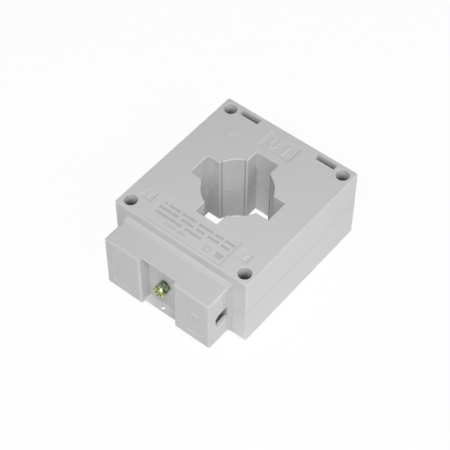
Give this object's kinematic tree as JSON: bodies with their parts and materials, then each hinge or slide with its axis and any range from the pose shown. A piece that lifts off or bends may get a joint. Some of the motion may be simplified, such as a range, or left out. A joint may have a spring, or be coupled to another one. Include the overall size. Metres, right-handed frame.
{
  "type": "window current transformer",
  "caption": "Window current transformer in a two-part moulded case with a cross-and-circle conductor window, corner holes and a screwed terminal cover on one side.",
  "frame": {"origin": "axis of the conductor window, on the back face of the case", "axes": "+Z out of the marked face, +X along the terminal side, the terminal side faces -Y"},
  "size_m": [0.0764, 0.0991, 0.042],
  "materials": {
    "case_plastic": "fine eroded, light grey",
    "cover_plastic": "fine eroded, light grey",
    "core_steel": "wound strip",
    "insulation": "moulded, natural",
    "winding_wire": "enamelled copper",
    "wrap_film": "film",
    "foam": "closed-cell foam",
    "sleeve": "soft sleeving",
    "brass": "bright, lightly tarnished",
    "zinc_steel": "zinc plated",
    "yellow_zinc": "yellow chromated zinc"
  },
  "bodies": {
    "housing": {"front_shell": "case_plastic", "rear_shell": "case_plastic", "terminal_base": "case_plastic", "strip_core": "core_steel", "core_cap_front": "insulation", "core_cap_rear": "insulation", "secondary_winding": "winding_wire", "winding_wrap": "wrap_film", "foam_ring_front": "foam", "foam_ring_rear": "foam", "cover_insert": "brass", "lead_left": "winding_wire", "lead_right": "winding_wire", "sleeve_left": "sleeve", "sleeve_right": "sleeve", "terminal_plate_left": "brass", "terminal_plate_right": "brass", "clamp_plate_left": "zinc_steel", "clamp_plate_right": "zinc_steel", "spring_washer_left": "zinc_steel", "spring_washer_right": "zinc_steel"},
    "cover": {"terminal_cover": "cover_plastic"},
    "cover_screw": {"cover_screw": "yellow_zinc", "cover_screw_ring": "zinc_steel"},
    "terminal_screw_left": {"terminal_screw_left": "brass"},
    "terminal_screw_right": {"terminal_screw_right": "brass"}
  },
  "joints": [
    {"name": "cover_lift", "type": "slide", "parent": "housing", "child": "cover", "axis": [0, -1, 0], "range_m": [0, 0.03]},
    {"name": "cover_screw_turn", "type": "hinge", "parent": "cover", "child": "cover_screw", "pos_m": [0, -0.05155, 0.021], "axis": [0, -1, 0], "continuous": true},
    {"name": "terminal_screw_left_turn", "type": "hinge", "parent": "housing", "child": "terminal_screw_left", "pos_m": [-0.02005, -0.04795, 0.021], "axis": [0, -1, 0], "continuous": true},
    {"name": "terminal_screw_right_turn", "type": "hinge", "parent": "housing", "child": "terminal_screw_right", "pos_m": [0.02005, -0.04795, 0.021], "axis": [0, -1, 0], "continuous": true}
  ]
}
